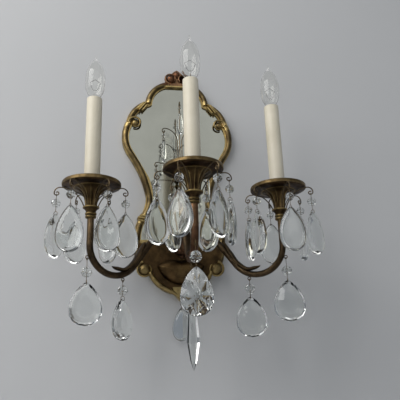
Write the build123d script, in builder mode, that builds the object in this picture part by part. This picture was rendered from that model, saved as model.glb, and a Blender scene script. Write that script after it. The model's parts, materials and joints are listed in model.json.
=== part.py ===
from build123d import *
import os
from math import asin, atan2, cos, degrees, hypot, pi, radians, sin

# A three-arm crystal wall sconce: a cast brass cartouche frame round a mirror, three
# S-shaped arms with fluted cups and candle lamps, and pear-shaped crystals on wire hooks.
#
# The wall is the plane y = 0 and the front faces -Y. The origin is the centre of the wall
# fixing, behind the hub that the arms spring from. All sizes are in millimetres.

os.makedirs("parts", exist_ok=True)

# ---------------------------------------------------------------- driving dimensions
clearance = 0.3

# frame, in the plane of the wall
moulding_width = 14.0
moulding_height = 14.0
rail_depth = 9.0
frame_top_z = 331.0
crest_top_z = 362.0
crest_half_width = 22.0
waist_half_width = 53.5
waist_z = 104.0
bulge_half_width = 97.5
bulge_z = 219.0
lower_half_width = 75.0
lower_bulge_z = 18.0
volute_ball_radius = 10.0
volute_ball_at = (62.0, -31.0)
shoulder_ball_radius = 6.5
shoulder_ball_at = (80.0, 246.0)
knuckle_upper = (66.0, 280.0, -52.0)
knuckle_lower = (66.0, 60.0, 12.0)
tip_z = -86.0
mirror_bottom_z = 16.0
shield_depth = 14.0
shield_wall = 4.0

# mirror
mirror_thickness = 3.0
backing_thickness = 1.5
rebate_depth = 6.0
clip_size = (16.0, 8.0, 1.0)
clip_places = ((62.0, 60.0), (93.0, 225.0))

# boss on the shield
boss_half_width = 41.0
boss_top_z = -17.0
boss_bottom_z = -58.0
boss_height = 14.0

# hub and wall fixing
hub_y = -34.0
hub_radius = 14.0
hub_height = 18.0
hub_bore_radius = 8.0
nipple_radius = 4.8
nipple_bore_radius = 3.2
bar_size = (104.0, 14.0, 2.0)
bar_hole_spacing = 88.9
bar_hole_radius = 2.4
nut_across = 15.0
nut_height = 3.0

# arms: distance from the hub's axis, direction of each in the XY plane, level of each rim
side_pan_x = 149.0
side_pan_y = -124.0
centre_pan_y = -188.0
side_rim_z = 85.0
centre_rim_z = 91.0
arm_start_radius = 10.0
arm_start_z = -0.5
entry_bend_radius = 21.0
entry_turn = 41.8
crest_bend_radius = 30.0
side_descent = 53.0
centre_descent = 60.0
side_bowl_radius = 43.0
centre_bowl_radius = 40.0
arm_depth = 10.0
arm_width = 13.0
arm_bore_radius = 2.8
lead_radius = 1.8
leaf_width = 9.0
leaf_rise = 6.5
eye_radius = 3.2
eye_hole_radius = 1.7
eye_width = 1.6
side_eye_turns = (67.0, -17.0)
centre_eye_turns = (60.0, -10.0)

# cups and pans, heights below the rim
pan_radius = 45.0
pan_floor_drop = 7.0
pan_thickness = 1.5
pan_slope = 17.0
cup_top_radius = 28.0
cup_top_drop = 8.5
cup_base_radius = 12.5
centre_cup_base_radius = 14.0
cup_base_drop = 38.5
cup_ring_height = 2.5
cup_foot_drop = 57.0
cup_foot_radius = 6.6
flute_count = 12
flute_depth = 1.5

# candles and lamps
sleeve_radius = 12.3
sleeve_wall = 1.6
sleeve_length = 152.0
socket_radius = 9.4
socket_length = 34.0
lamp_base_play = 0.5
socket_drop = 1.0
post_radius = 4.7
post_bore_radius = 3.0
lamp_radius = 16.5
lamp_base_radius = 5.9
socket_bore_radius = lamp_base_radius + lamp_base_play
lamp_base_length = 19.0
lamp_tip_height = 82.0
lamp_wall = 0.9
lamp_belly_z = 27.0

# wire hooks on the pans
hook_wire = 1.8
hook_rise_radius = 50.5
hook_rise_angle = 72.4
hook_rise_turn = 28.8
hook_sweep_radius = 32.6
hook_crown_radius = 9.0
hook_curl_radius = 3.6
hook_curl_turn = 200
hook_inset = 1.8
left_hook_angles = (0, 60, 120, 180, -120, -60)
right_hook_angles = (30, 90, 150, -150, -90, -30)

# spray of wires in front of the mirror
spray_stem_radius = 2.4
spray_cup_z = 146.0
spray_cup_radius = 9.0
spray_crown_radius = 6.0
spray_curl_radius = 2.6

# turn of each pan's crystals from their hooks' directions, 90 being broadside
crystal_turns = {
    "left": (20, 75, 100, 60, 110, 90),
    "centre": (90, 70, 110, 30, 80, 100),
    "right": (60, 70, 90, 75, 90, 60),
}

# crystals: width, length, thickness of each kind
pan_drop_size = (40.0, 68.0, 11.0)
arm_drop_size = (47.0, 62.0, 15.0)
front_drop_size = (50.0, 68.0, 17.0)
tip_drop_size = (32.0, 54.0, 12.0)
spray_drop_size = (11.0, 44.0, 7.0)
spear_size = (18.0, 112.0, 12.0)
tip_pendant_y = -12.0
pin_wire = 0.9
hook_ring_apothem = 1.45
drop_ring_apothem = 1.9
drop_hole_radius = 1.4
bead_hole = 1.5


# ---------------------------------------------------------------- shared helpers
def upright(x, y, z, angle=0.0):
    """A vertical plane at (x, y, z): its x runs along the horizontal angle, its y runs up."""
    turn = radians(angle)
    return Plane(origin=(x, y, z), x_dir=(cos(turn), sin(turn), 0), z_dir=(sin(turn), -cos(turn), 0))


def save(part, name):
    """Label one finished piece and write its STEP file."""
    part.label = name
    export_step(part, f"parts/{name}.step")


def wire_sweep(path, radius, sides=4):
    """Sweep a small flat-sided wire section along a path."""
    with BuildSketch(Plane(origin=path @ 0, z_dir=path % 0)) as section:
        RegularPolygon(radius, sides)
    sweep(sections=section.sketch, path=path)


def hanging_eye(x, y, z, angle):
    """A small cast eye for a pendant, in the vertical plane at the angle."""
    with BuildSketch(upright(x, y, z, angle)) as ring:
        Circle(eye_radius)
        Circle(eye_hole_radius, mode=Mode.SUBTRACT)
    extrude(ring.sketch, amount=eye_width / 2, both=True)


# ---------------------------------------------------------------- frame
def moulding_face(path):
    """Section of the cast moulding at the start of a path that lies in the wall plane."""
    tangent = path % 0
    across = Vector(-tangent.Z, 0, tangent.X)
    half = moulding_width / 2
    with BuildSketch(Plane(origin=path @ 0, x_dir=across, z_dir=tangent)) as section:
        with BuildLine():
            Polyline((-half, 8), (-half, 0), (half, 0), (half, 5))
            ThreePointArc((half, 5), (0.72 * half, 11.3), (0.5, moulding_height))
            ThreePointArc((0.5, moulding_height), (-3, 12.2), (-4.5, 9))
            Line((-4.5, 9), (-half, 8))
        make_face()
    return section.sketch


def moulding(path):
    """One scroll of the frame, from the wall plane to the ridge of the moulding."""
    sweep(sections=moulding_face(path), path=path)


def frame_paths():
    """Centre lines of the right half's scrolls, from the crest down to the shield."""
    with BuildLine(Plane.XZ) as crest_scroll:
        ThreePointArc((12, frame_top_z), (41, 318.5), (54, 289))
    with BuildLine(Plane.XZ) as shoulder_scroll:
        ThreePointArc((61, 286), (81, 270), (90, 244))
    with BuildLine(Plane.XZ) as side_scroll:
        bulge = ThreePointArc((92, 245), (bulge_half_width, bulge_z), (86.7, 184))
        flank = TangentArc(bulge @ 1, (waist_half_width, waist_z), tangent=bulge % 1)
        TangentArc(flank @ 1, (64, 64), tangent=flank % 1)
    with BuildLine(Plane.XZ) as lower_scroll:
        ThreePointArc((65, 62), (lower_half_width, lower_bulge_z), (66, -24))
    with BuildLine(Plane.XZ) as shield_scroll:
        ThreePointArc((52, -30), (39, -51), (15, -66))
    return [p.wire() for p in (crest_scroll, shoulder_scroll, side_scroll, lower_scroll, shield_scroll)]


def half_opening():
    """Right half of the mirror's outline, along the centre of the moulding."""
    Line((0, mirror_bottom_z), (lower_half_width - 1, mirror_bottom_z))
    knuckle = ThreePointArc((lower_half_width - 1, mirror_bottom_z), (73, 40), (64, 62))
    waist = ThreePointArc(knuckle @ 1, (waist_half_width, waist_z), (60, 136))
    flank = Line(waist @ 1, (86.7, 184))
    ThreePointArc(flank @ 1, (bulge_half_width, bulge_z), (91, 244))
    ThreePointArc((91, 244), (81, 270), (61, 286))
    Line((61, 286), (54, 289))
    crest = ThreePointArc((54, 289), (41, 318.5), (12, frame_top_z))
    Line(crest @ 1, (0, frame_top_z))
    Line((0, frame_top_z), (0, mirror_bottom_z))


def mirror_outline(margin, level=0.0):
    """Face of the mirror's outline, made larger by the margin, at a level off the wall."""
    with BuildSketch(Plane.XZ.offset(level)) as outline:
        with BuildLine():
            half_opening()
        make_face()
        mirror(about=Plane.YZ)
        offset(amount=margin)
    return outline.sketch


def shield_outline(margin):
    """Face of the shield below the mirror, made smaller by the margin."""
    with BuildSketch(Plane.XZ) as outline:
        with BuildLine():
            Line((0, mirror_bottom_z - 1), (lower_half_width - 1, mirror_bottom_z - 1))
            ThreePointArc((lower_half_width - 1, mirror_bottom_z - 1), (73, -4), (66, -24))
            Line((66, -24), (52, -34))
            bowl = ThreePointArc((52, -34), (39, -53), (15, -68))
            ThreePointArc(bowl @ 1, (6, -75), (0, tip_z))
            Line((0, tip_z), (0, mirror_bottom_z - 1))
        make_face()
        mirror(about=Plane.YZ)
        if margin > 0:
            offset(amount=-margin, kind=Kind.INTERSECTION)
    return outline.sketch


def leaf(x, z, turn, length, width, depth):
    """A leaf of three ribs on the moulding, the middle rib longest and highest."""
    rib_width = width / 3
    for side, share, drop in ((-1, 0.72, 2.5), (1, 0.72, 2.5), (0, 1.0, 0)):
        with BuildSketch(Plane.XZ) as rib:
            with Locations(Location((x, z), turn)):
                with Locations((0, side * rib_width)):
                    SlotOverall(share * length, 1.15 * rib_width)
        extrude(rib.sketch, amount=depth - drop, taper=5)


def crest():
    """The ornament at the top: a rounded leaf between two scroll eyes."""
    with BuildSketch(Plane.XZ) as leaf:
        with BuildLine():
            Line((-crest_half_width, 325), (crest_half_width, 325))
            ThreePointArc((crest_half_width, 325), (20, 344), (11, 352))
            ThreePointArc((11, 352), (6, 358), (0, crest_top_z))
            ThreePointArc((0, crest_top_z), (-6, 358), (-11, 352))
            ThreePointArc((-11, 352), (-20, 344), (-crest_half_width, 325))
        make_face()
    extrude(leaf.sketch, amount=12)
    with Locations((-12, -12, 341), (12, -12, 341)):
        Sphere(8)
    with Locations((0, -11, 351)):
        Sphere(7)


def shield_tip():
    """The pointed drop that ends the shield."""
    with BuildSketch(Plane.XZ) as outline:
        with BuildLine():
            ThreePointArc((15, -62), (11, -73), (0, tip_z))
            ThreePointArc((0, tip_z), (-11, -73), (-15, -62))
            Line((-15, -62), (15, -62))
        make_face()
    extrude(outline.sketch, amount=shield_depth + 3)


tip_eye_z = tip_z - eye_radius + 1.2
with BuildPart() as wall_frame:
    extrude(mirror_outline(0.45 * moulding_width), amount=rail_depth)
    extrude(shield_outline(0), amount=shield_depth)
    for path in frame_paths():
        moulding(path)
    leaf(*knuckle_upper, 26, 12, 17)
    leaf(*knuckle_lower, 20, 14, 18)
    with Locations((volute_ball_at[0], -13, volute_ball_at[1])):
        Sphere(volute_ball_radius)
    with Locations((shoulder_ball_at[0], -9, shoulder_ball_at[1])):
        Sphere(shoulder_ball_radius)
    mirror(about=Plane.YZ)
    shield_tip()
    crest()
    extrude(mirror_outline(1 - 0.5 * moulding_width), amount=rail_depth, mode=Mode.SUBTRACT)
    extrude(mirror_outline(clearance), amount=rebate_depth, mode=Mode.SUBTRACT)
    extrude(shield_outline(shield_wall), amount=shield_depth - shield_wall, mode=Mode.SUBTRACT)
    with Locations(Plane.XZ):
        Cylinder(nipple_radius + 0.15, 3 * shield_depth, mode=Mode.SUBTRACT)
    with Locations((0, 50, 130)):
        Box(400, 100, 700, mode=Mode.SUBTRACT)
    with BuildSketch(Plane.XZ):
        for clip_x, clip_z in clip_places:
            with Locations((-clip_x, clip_z), (clip_x, clip_z)):
                Rectangle(clip_size[0] + 2 * clearance, clip_size[1] + 2 * clearance)
    extrude(amount=1.5, mode=Mode.SUBTRACT)
    hanging_eye(0, tip_pendant_y, tip_eye_z, -90)
save(wall_frame.part, "wall_frame")


# ---------------------------------------------------------------- mirror and its backing
with BuildPart() as mirror_glass:
    extrude(mirror_outline(0, rebate_depth - mirror_thickness), amount=mirror_thickness)
save(mirror_glass.part, "mirror")

backing_back = rebate_depth - mirror_thickness - backing_thickness
with BuildPart() as mirror_backing:
    extrude(mirror_outline(-1, backing_back), amount=backing_thickness)
save(mirror_backing.part, "mirror_backing")

with BuildPart() as mirror_clips:
    with BuildSketch(Plane.XZ.offset(backing_back - clip_size[2])):
        for clip_x, clip_z in clip_places:
            with Locations((-clip_x, clip_z), (clip_x, clip_z)):
                Rectangle(clip_size[0], clip_size[1])
    extrude(amount=clip_size[2])
save(mirror_clips.part, "mirror_clips")


# ---------------------------------------------------------------- boss on the shield
def boss_outline(size, level):
    """The boss's outline at a level off the wall, its size a share of the full outline."""
    middle = (boss_top_z + boss_bottom_z) / 2
    top = size * (boss_top_z - middle)
    bottom = size * (boss_bottom_z - middle)
    wide = size * boss_half_width
    with BuildSketch(upright(0, -level, middle)) as outline:
        with BuildLine():
            ThreePointArc((0, bottom), (0.66 * wide, 0.48 * bottom), (wide, 0.6 * top))
            ThreePointArc((wide, 0.6 * top), (0.75 * wide, 0.95 * top), (0, top))
            Line((0, top), (0, bottom))
        make_face()
        mirror(about=Plane.YZ)
    return outline.sketch


with BuildPart() as shield_boss:
    rim = boss_outline(1.0, shield_depth)
    brow = boss_outline(0.86, shield_depth + 0.55 * boss_height)
    crown = boss_outline(0.45, shield_depth + boss_height)
    loft(sections=[rim, brow, crown])
save(shield_boss.part, "shield_boss")


# ---------------------------------------------------------------- wall fixing and hub
# each arm: side, direction from the hub, reach, fall of the slope, bowl, rim, eye turns
side_reach = hypot(side_pan_x, side_pan_y - hub_y)
centre_reach = hub_y - centre_pan_y
side_angle = degrees(atan2(side_pan_y - hub_y, side_pan_x))
arms = (
    ("left", 180 - side_angle, side_reach, side_descent, side_bowl_radius, side_rim_z, side_eye_turns),
    ("centre", -90, centre_reach, centre_descent, centre_bowl_radius, centre_rim_z, centre_eye_turns),
    ("right", side_angle, side_reach, side_descent, side_bowl_radius, side_rim_z, side_eye_turns),
)

with BuildPart() as mounting_bar:
    with BuildSketch(Plane.XZ):
        RectangleRounded(bar_size[0], bar_size[1], 5)
        with Locations((-bar_hole_spacing / 2, 0), (bar_hole_spacing / 2, 0)):
            Circle(bar_hole_radius, mode=Mode.SUBTRACT)
        Circle(nipple_radius + 0.05, mode=Mode.SUBTRACT)
    extrude(amount=bar_size[2])
save(mounting_bar.part, "mounting_bar")

with BuildPart() as lock_nuts:
    for nut_level in (bar_size[2], shield_depth - shield_wall - nut_height):
        with BuildSketch(Plane.XZ.offset(nut_level)):
            RegularPolygon(nut_across / 2, 6, major_radius=False)
            Circle(nipple_radius + 0.05, mode=Mode.SUBTRACT)
        extrude(amount=nut_height)
save(lock_nuts.part, "lock_nuts")

with BuildPart() as arm_hub:
    with BuildSketch(upright(0, hub_y, 0)):
        half = hub_height / 2
        with BuildLine():
            Line((0, -half - 7), (2.5, -half - 7))
            Line((2.5, -half - 7), (4.5, -half - 5))
            Line((4.5, -half - 5), (4.5, -half - 3))
            Line((4.5, -half - 3), (hub_radius - 2.5, -half))
            Line((hub_radius - 2.5, -half), (hub_radius, 2.5 - half))
            Line((hub_radius, 2.5 - half), (hub_radius, half - 2.5))
            Line((hub_radius, half - 2.5), (hub_radius - 2.5, half))
            ThreePointArc((hub_radius - 2.5, half), (7, half + 4), (5, half + 12))
            Line((5, half + 12), (5, half + 15))
            Line((5, half + 15), (0, half + 15))
            Line((0, half + 15), (0, -half - 7))
        make_face()
    revolve(axis=Axis((0, hub_y, 0), (0, 0, 1)))
    with BuildSketch(Plane.XZ.offset(shield_depth)):
        Circle(8)
    extrude(amount=-hub_y - shield_depth)
    with Locations((0, hub_y, 0)):
        Cylinder(hub_bore_radius, 14, mode=Mode.SUBTRACT)
    with BuildSketch(Plane.XZ):
        Circle(nipple_radius + 0.1)
    extrude(amount=-hub_y, mode=Mode.SUBTRACT)
    for arm in arms:
        outward = Vector(cos(radians(arm[1])), sin(radians(arm[1])), 0)
        with BuildSketch(Plane(origin=(0, hub_y, arm_start_z), z_dir=outward)):
            Circle(arm_bore_radius)
        extrude(amount=hub_radius + 2, mode=Mode.SUBTRACT)
save(arm_hub.part, "arm_hub")


# ---------------------------------------------------------------- arms
def arm_path(angle, reach, descent, bowl_radius, top_z):
    """Centre line of an arm: out of the hub, over a crest, down, round a bowl and up."""
    turn = radians(entry_turn)
    fall = radians(descent)
    bends = entry_bend_radius * sin(turn) + crest_bend_radius * (sin(turn) + sin(fall))
    run = (reach - arm_start_radius - bends - bowl_radius * (1 + sin(fall))) / cos(fall)
    with BuildLine(upright(0, hub_y, 0, angle)) as line:
        entry = JernArc((arm_start_radius, arm_start_z), (1, 0), entry_bend_radius, entry_turn)
        shoulder = JernArc(entry @ 1, entry % 1, crest_bend_radius, -entry_turn - descent)
        slope = Line(shoulder @ 1, shoulder @ 1 + run * (shoulder % 1))
        bowl = JernArc(slope @ 1, slope % 1, bowl_radius, descent + 90)
        Line(bowl @ 1, bowl @ 1 + Vector(0, 0, top_z - (bowl @ 1).Z))
    return line.wire(), (bowl @ 1).Z


def arm_leaf(angle, reach, descent, bowl_radius, bowl_z):
    """The leaf on the upper side of an arm's slope, ending in a tongue above the bowl."""
    fall = radians(descent)
    bowl_r = reach - bowl_radius
    inner = bowl_radius - 1.0
    lip = bowl_radius - arm_depth / 2 - leaf_rise
    heel = (bowl_r - lip * sin(fall), bowl_z - lip * cos(fall))
    top = (heel[0] - 1.1 * bowl_radius * cos(fall), heel[1] + 1.1 * bowl_radius * sin(fall))
    foot = (bowl_r - inner * sin(fall), bowl_z - inner * cos(fall))
    root = (foot[0] - 1.3 * bowl_radius * cos(fall), foot[1] + 1.3 * bowl_radius * sin(fall))
    tip = (bowl_r + 4, bowl_z - lip)
    with BuildSketch(upright(0, hub_y, 0, angle)) as outline:
        with BuildLine():
            ThreePointArc(root, (0.5 * (root[0] + top[0]) + 1, 0.5 * (root[1] + top[1]) + 2), top)
            Line(top, heel)
            ThreePointArc(heel, (bowl_r - lip * sin(fall / 2), bowl_z - lip * cos(fall / 2)), tip)
            ThreePointArc(tip, (bowl_r - inner * sin(fall / 3), bowl_z - inner * cos(fall / 3)), foot)
            Line(foot, root)
        make_face()
    extrude(outline.sketch, amount=leaf_width / 2, both=True)


hinges = {}
lead_paths = []
for side, angle, reach, descent, bowl_radius, rim_z, eye_turns in arms:
    outward = Vector(cos(radians(angle)), sin(radians(angle)), 0)
    path, bowl_z = arm_path(angle, reach, descent, bowl_radius, rim_z - cup_foot_drop)
    across = upright(0, 0, 0, angle).z_dir
    with BuildPart() as arm:
        with BuildSketch(Plane(origin=path @ 0, x_dir=across, z_dir=path % 0)):
            Ellipse(arm_width / 2, arm_depth / 2)
        sweep(path=path)
        arm_leaf(angle, reach, descent, bowl_radius, bowl_z)
        eye_reach = bowl_radius + arm_depth / 2 + eye_radius - 0.8
        for place, turn in zip(("outer", "inner"), eye_turns):
            out = (reach - bowl_radius + eye_reach * sin(radians(turn))) * outward
            eye_z = bowl_z - eye_reach * cos(radians(turn))
            hanging_eye(out.X, hub_y + out.Y, eye_z, angle)
            hinge_z = eye_z - (eye_radius + eye_hole_radius) / 2
            hinges[side, place] = (out.X, hub_y + out.Y, hinge_z, angle)
        with BuildSketch(Plane(origin=path @ 0, x_dir=across, z_dir=path % 0)):
            RegularPolygon(arm_bore_radius, 8)
        sweep(path=path, mode=Mode.SUBTRACT)
        with Locations((0, hub_y, 0)):
            Cylinder(hub_radius + 0.15, 60, mode=Mode.SUBTRACT)
    save(arm.part, f"arm_{side}")
    socket_base_z = rim_z - pan_floor_drop + sleeve_length - socket_drop - socket_length
    lead_paths.append((arm_path(angle, reach, descent, bowl_radius, socket_base_z - 1)[0], across))

with BuildPart() as lead_wires:
    for path, across in lead_paths:
        with BuildSketch(Plane(origin=path @ 0, x_dir=across, z_dir=path % 0)):
            RegularPolygon(lead_radius, 6)
        sweep(path=path)
save(lead_wires.part, "lead_wires")


# ---------------------------------------------------------------- cups and pans
def flute_outline(x, y, z, radius, depth):
    """The trumpet's outline at one height: sharp ribs with a groove between each two."""
    points = []
    for step in range(2 * flute_count):
        turn = pi * step / flute_count
        reach = radius if step % 2 == 0 else radius - depth
        points.append((reach * cos(turn), reach * sin(turn)))
    with BuildSketch(Plane((x, y, z))) as outline:
        Polygon(*points, align=None)
    return outline.sketch


def cup(x, y, rim_z, base_radius):
    """The fluted trumpet that carries a pan, on its base ring and tapered foot."""
    base = -cup_base_drop
    ring = base - cup_ring_height
    foot = -cup_foot_drop
    neck = base_radius - 3.6
    with BuildSketch(upright(x, y, rim_z)) as profile:
        with BuildLine():
            Line((0, foot), (cup_foot_radius, foot))
            ThreePointArc((cup_foot_radius, foot), (cup_foot_radius + 2, foot + 2.5), (cup_foot_radius, foot + 5))
            ThreePointArc(
                (cup_foot_radius, foot + 5),
                (cup_foot_radius + 2, foot + 7.5),
                (cup_foot_radius, foot + 10),
            )
            Line((cup_foot_radius, foot + 10), (base_radius - 1.2, ring))
            Line((base_radius - 1.2, ring), (base_radius, ring + 0.6))
            Line((base_radius, ring + 0.6), (base_radius, base))
            Line((base_radius, base), (0, base))
            Line((0, base), (0, foot))
        make_face()
    revolve(profile.sketch, axis=Axis((x, y, 0), (0, 0, 1)))
    rise = cup_base_drop - cup_top_drop
    flare = []
    for share, spread in ((0, 0), (0.25, 0.03), (0.5, 0.13), (0.7, 0.3), (0.87, 0.58), (1, 1)):
        radius = neck + spread * (cup_top_radius - neck)
        depth = flute_depth * (0.6 + 0.8 * share)
        flare.append(flute_outline(x, y, rim_z + base + share * rise, radius, depth))
    loft(sections=flare, ruled=True)
    with BuildSketch(Plane((x, y, rim_z))) as bore:
        Circle(post_radius + 0.2)
    extrude(bore.sketch, amount=-cup_foot_drop - 1, mode=Mode.SUBTRACT)


def pan(x, y, rim_z):
    """The spun drip pan: a flat floor, a shallow wall and a rolled lip."""
    floor = -pan_floor_drop
    under = floor - pan_thickness
    bore = post_radius + 0.2
    with BuildSketch(upright(x, y, rim_z)) as profile:
        with BuildLine():
            Line((bore, under), (cup_top_radius + 2, under))
            Line((cup_top_radius + 2, under), (pan_radius - 3, under + 1.8))
            Line((pan_radius - 3, under + 1.8), (pan_radius, under + 2.5))
            Line((pan_radius, under + 2.5), (pan_radius, -1))
            Line((pan_radius, -1), (pan_radius - 1, 0))
            Line((pan_radius - 1, 0), (pan_radius - 2.4, -1.2))
            ThreePointArc((pan_radius - 2.4, -1.2), (pan_radius - 6, floor + 2), (pan_radius - pan_slope, floor))
            if pan_radius - pan_slope > cup_top_radius:
                Line((pan_radius - pan_slope, floor), (cup_top_radius, floor))
            Line((cup_top_radius, floor), (bore, floor))
            Line((bore, floor), (bore, under))
        make_face()
    revolve(profile.sketch, axis=Axis((x, y, 0), (0, 0, 1)))


def pan_hook(x, y, rim_z, angle, base_radius):
    """One wire hook: up beside the cup, out under the pan and over to its curl."""
    lean = radians(hook_rise_angle)
    with BuildLine(upright(x, y, rim_z, angle)) as line:
        start = (base_radius - hook_inset, clearance - cup_base_drop)
        rise = JernArc(start, (cos(lean), sin(lean)), hook_rise_radius, -hook_rise_turn)
        reach_out = JernArc(rise @ 1, rise % 1, hook_sweep_radius, hook_rise_turn - hook_rise_angle)
        crown = JernArc(reach_out @ 1, reach_out % 1, hook_crown_radius, -90)
        JernArc(crown @ 1, crown % 1, hook_curl_radius, -hook_curl_turn)
    wire_sweep(line.wire(), hook_wire / 2)
    outward = Vector(cos(radians(angle)), sin(radians(angle)), 0)
    low = crown @ 1 - hook_curl_radius * outward - Vector(0, 0, hook_curl_radius)
    return (low.X, low.Y, low.Z, angle)


pans = (
    ("left", -side_pan_x, side_pan_y, side_rim_z, cup_base_radius, left_hook_angles),
    ("centre", 0, centre_pan_y, centre_rim_z, centre_cup_base_radius, left_hook_angles),
    ("right", side_pan_x, side_pan_y, side_rim_z, cup_base_radius, right_hook_angles),
)
for side, x, y, rim_z, base_radius, hook_angles in pans:
    with BuildPart() as cup_body:
        cup(x, y, rim_z, base_radius)
    save(cup_body.part, f"cup_{side}")
    with BuildPart() as pan_body:
        pan(x, y, rim_z)
    save(pan_body.part, f"pan_{side}")
    with BuildPart() as hooks:
        for number, angle in enumerate(hook_angles, start=1):
            hinges[side, number] = pan_hook(x, y, rim_z, angle, base_radius)
    save(hooks.part, f"hooks_{side}")


# ---------------------------------------------------------------- candles, sockets and lamps
def socket(x, y, top):
    """The lamp socket: a moulded body with a bore for the lamp's base."""
    with BuildSketch(Plane((x, y, top - socket_length))) as body:
        Circle(socket_radius)
    extrude(body.sketch, amount=socket_length)
    with BuildSketch(Plane((x, y, top))) as mouth:
        Circle(socket_bore_radius)
    extrude(mouth.sketch, amount=socket_drop + 2 - clearance - lamp_base_length, mode=Mode.SUBTRACT)


def flame_outline(radius, neck, neck_z, shoulder, shoulder_z):
    """Half outline of a flame shape: a ball with straight sides drawn from it to two rings."""
    below = asin(radius / hypot(neck, lamp_belly_z - neck_z)) - atan2(neck, lamp_belly_z - neck_z)
    above = asin(radius / hypot(shoulder, shoulder_z - lamp_belly_z)) - atan2(shoulder, shoulder_z - lamp_belly_z)
    low = (radius * cos(below), lamp_belly_z - radius * sin(below))
    high = (radius * cos(above), lamp_belly_z + radius * sin(above))
    Line((neck, neck_z), low)
    ThreePointArc(low, (radius, lamp_belly_z), high)
    Line(high, (shoulder, shoulder_z))


def lamp_glass(x, y, z):
    """The hollow flame-shaped envelope of a lamp, its neck down inside the base."""
    neck = lamp_base_radius - 0.8
    with BuildSketch(upright(x, y, z)) as profile:
        with BuildLine():
            Line((0, -5), (neck, -5))
            Line((neck, -5), (neck, 3))
            flame_outline(lamp_radius, neck, 3, 2.4, lamp_tip_height - 7)
            Line((2.4, lamp_tip_height - 7), (0.5, lamp_tip_height))
            Line((0.5, lamp_tip_height), (0, lamp_tip_height))
            Line((0, lamp_tip_height), (0, lamp_tip_height - 9))
            Line((0, lamp_tip_height - 9), (1.4, lamp_tip_height - 9))
            flame_outline(lamp_radius - lamp_wall, neck - lamp_wall, 3.5, 1.4, lamp_tip_height - 9)
            Line((neck - lamp_wall, 3.5), (neck - lamp_wall, -4))
            Line((neck - lamp_wall, -4), (0, -4))
            Line((0, -4), (0, -5))
        make_face()
    revolve(profile.sketch, axis=Axis((x, y, 0), (0, 0, 1)))


def lamp_base(x, y, z):
    """The thin metal base of a lamp, with its contact at the bottom."""
    with BuildSketch(Plane((x, y, z + 2))) as shell:
        Circle(lamp_base_radius)
    extrude(shell.sketch, amount=2 - lamp_base_length)
    with BuildSketch(Plane((x, y, z + 2))) as mouth:
        Circle(lamp_base_radius - 0.5)
    extrude(mouth.sketch, amount=-8, mode=Mode.SUBTRACT)
    with BuildSketch(Plane((x, y, z + 4 - lamp_base_length))) as contact:
        Circle(lamp_base_radius - 2.5)
    extrude(contact.sketch, amount=-2)


with BuildPart() as threaded_tubes:
    with BuildSketch(Plane.XZ):
        Circle(nipple_radius)
        Circle(nipple_bore_radius, mode=Mode.SUBTRACT)
    extrude(amount=-hub_y - hub_bore_radius)
    for side, x, y, rim_z, base_radius, hook_angles in pans:
        socket_base_z = rim_z - pan_floor_drop + sleeve_length - socket_drop - socket_length
        with BuildSketch(Plane((x, y, rim_z - cup_foot_drop))):
            Circle(post_radius)
            Circle(post_bore_radius, mode=Mode.SUBTRACT)
        extrude(amount=socket_base_z - (rim_z - cup_foot_drop))
save(threaded_tubes.part, "threaded_tubes")

with BuildPart() as sockets:
    for side, x, y, rim_z, base_radius, hook_angles in pans:
        socket(x, y, rim_z - pan_floor_drop + sleeve_length - socket_drop)
save(sockets.part, "sockets")

for side, x, y, rim_z, base_radius, hook_angles in pans:
    floor_z = rim_z - pan_floor_drop
    with BuildPart() as candle_sleeve:
        with BuildSketch(Plane((x, y, floor_z))):
            Circle(sleeve_radius)
            Circle(sleeve_radius - sleeve_wall, mode=Mode.SUBTRACT)
        extrude(amount=sleeve_length)
    save(candle_sleeve.part, f"candle_sleeve_{side}")
    with BuildPart() as lamp:
        lamp_base(x, y, floor_z + sleeve_length)
        lamp_glass(x, y, floor_z + sleeve_length)
    save(lamp.part, f"lamp_{side}")


# ---------------------------------------------------------------- spray in front of the mirror
# each wire: name, direction, where it leaves the cup, angle there, reach and height of crest
spray_wires = (
    ("top", -90, (2.0, 146.0), (8.0, 276.0)),
    ("upper_left", 195, (4.0, 146.0), (27.5, 222.5)),
    ("upper_right", -15, (4.0, 146.0), (27.5, 222.5)),
    ("lower_left", 205, (6.0, 144.0), (46.0, 150.5)),
    ("lower_right", -25, (6.0, 144.0), (46.0, 150.5)),
)


def spray_wire(angle, start, crest_at):
    """One wire of the spray: out of the cup, up to its crest and over to its curl."""
    rise = crest_at[1] - start[1]
    run = crest_at[0] - start[0]
    with BuildLine(upright(0, hub_y, 0, angle)) as line:
        if run < rise:
            stem = Line(start, (start[0], crest_at[1] - run))
            climb = JernArc(stem @ 1, (0, 1), run, -90)
        else:
            heading = 2 * atan2(rise, run)
            bend = (run * run + rise * rise) / (2 * rise)
            climb = JernArc(start, (cos(heading), sin(heading)), bend, -degrees(heading))
        crown = JernArc(climb @ 1, climb % 1, spray_crown_radius, -90)
        JernArc(crown @ 1, crown % 1, spray_curl_radius, -hook_curl_turn)
    wire_sweep(line.wire(), hook_wire / 2)
    outward = Vector(cos(radians(angle)), sin(radians(angle)), 0)
    low = crown @ 1 - spray_curl_radius * outward - Vector(0, 0, spray_curl_radius)
    return (low.X, low.Y, low.Z, angle)


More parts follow.
